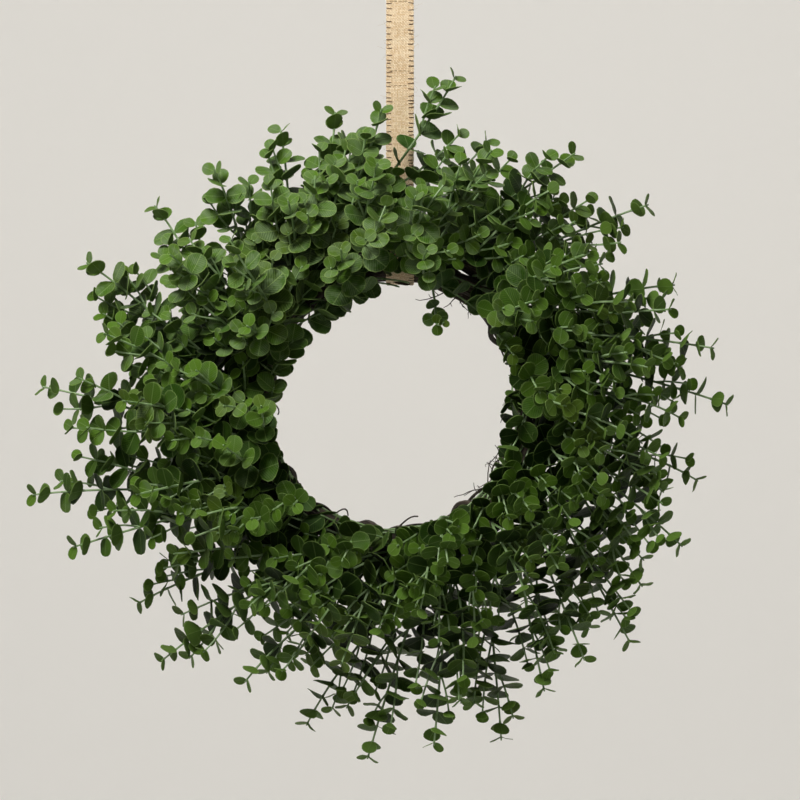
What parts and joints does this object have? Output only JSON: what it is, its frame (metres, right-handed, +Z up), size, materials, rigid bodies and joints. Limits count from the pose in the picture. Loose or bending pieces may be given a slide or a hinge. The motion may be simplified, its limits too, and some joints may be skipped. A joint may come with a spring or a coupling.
{
  "type": "eucalyptus wreath",
  "caption": "Round wreath of eucalyptus sprays swept clockwise on a wound grapevine ring, hung by a looped burlap ribbon with a sewn eye.",
  "frame": {"origin": "middle of the sewn eye at the top of the ribbon, where the wreath hangs", "axes": "+Z up, -Y towards the front of the wreath, +X to the right seen from the front"},
  "size_m": [0.6382, 0.1675, 0.7173],
  "materials": {
    "burlap": "natural jute weave with overcast edges",
    "vine_bark": "dry grey-brown bark with loose strips",
    "eucalyptus_leaf": "matt green with a grey bloom and a paler rim"
  },
  "bodies": {
    "root": {"ribbon": "burlap", "vine_1": "vine_bark", "vine_2": "vine_bark", "vine_3": "vine_bark", "vine_4": "vine_bark", "vine_binder": "vine_bark", "spray_01": "eucalyptus_leaf", "spray_02": "eucalyptus_leaf", "spray_03": "eucalyptus_leaf", "spray_04": "eucalyptus_leaf", "spray_05": "eucalyptus_leaf", "spray_06": "eucalyptus_leaf", "spray_07": "eucalyptus_leaf", "spray_08": "eucalyptus_leaf", "spray_09": "eucalyptus_leaf", "spray_10": "eucalyptus_leaf", "spray_11": "eucalyptus_leaf", "spray_12": "eucalyptus_leaf", "spray_13": "eucalyptus_leaf", "spray_14": "eucalyptus_leaf", "spray_15": "eucalyptus_leaf", "spray_16": "eucalyptus_leaf", "spray_17": "eucalyptus_leaf", "spray_18": "eucalyptus_leaf", "spray_19": "eucalyptus_leaf", "spray_20": "eucalyptus_leaf", "spray_21": "eucalyptus_leaf", "spray_22": "eucalyptus_leaf", "spray_23": "eucalyptus_leaf", "spray_24": "eucalyptus_leaf", "spray_25": "eucalyptus_leaf", "spray_26": "eucalyptus_leaf", "spray_27": "eucalyptus_leaf", "spray_28": "eucalyptus_leaf", "spray_29": "eucalyptus_leaf", "spray_30": "eucalyptus_leaf", "spray_31": "eucalyptus_leaf", "spray_32": "eucalyptus_leaf", "spray_33": "eucalyptus_leaf", "spray_34": "eucalyptus_leaf", "spray_35": "eucalyptus_leaf", "spray_36": "eucalyptus_leaf", "spray_37": "eucalyptus_leaf", "spray_38": "eucalyptus_leaf", "spray_39": "eucalyptus_leaf", "spray_40": "eucalyptus_leaf", "spray_41": "eucalyptus_leaf", "spray_42": "eucalyptus_leaf", "spray_43": "eucalyptus_leaf", "spray_44": "eucalyptus_leaf", "spray_45": "eucalyptus_leaf", "spray_46": "eucalyptus_leaf", "spray_47": "eucalyptus_leaf", "spray_48": "eucalyptus_leaf", "spray_49": "eucalyptus_leaf", "spray_50": "eucalyptus_leaf", "spray_51": "eucalyptus_leaf", "spray_52": "eucalyptus_leaf", "spray_53": "eucalyptus_leaf", "spray_54": "eucalyptus_leaf"}
  },
  "joints": []
}
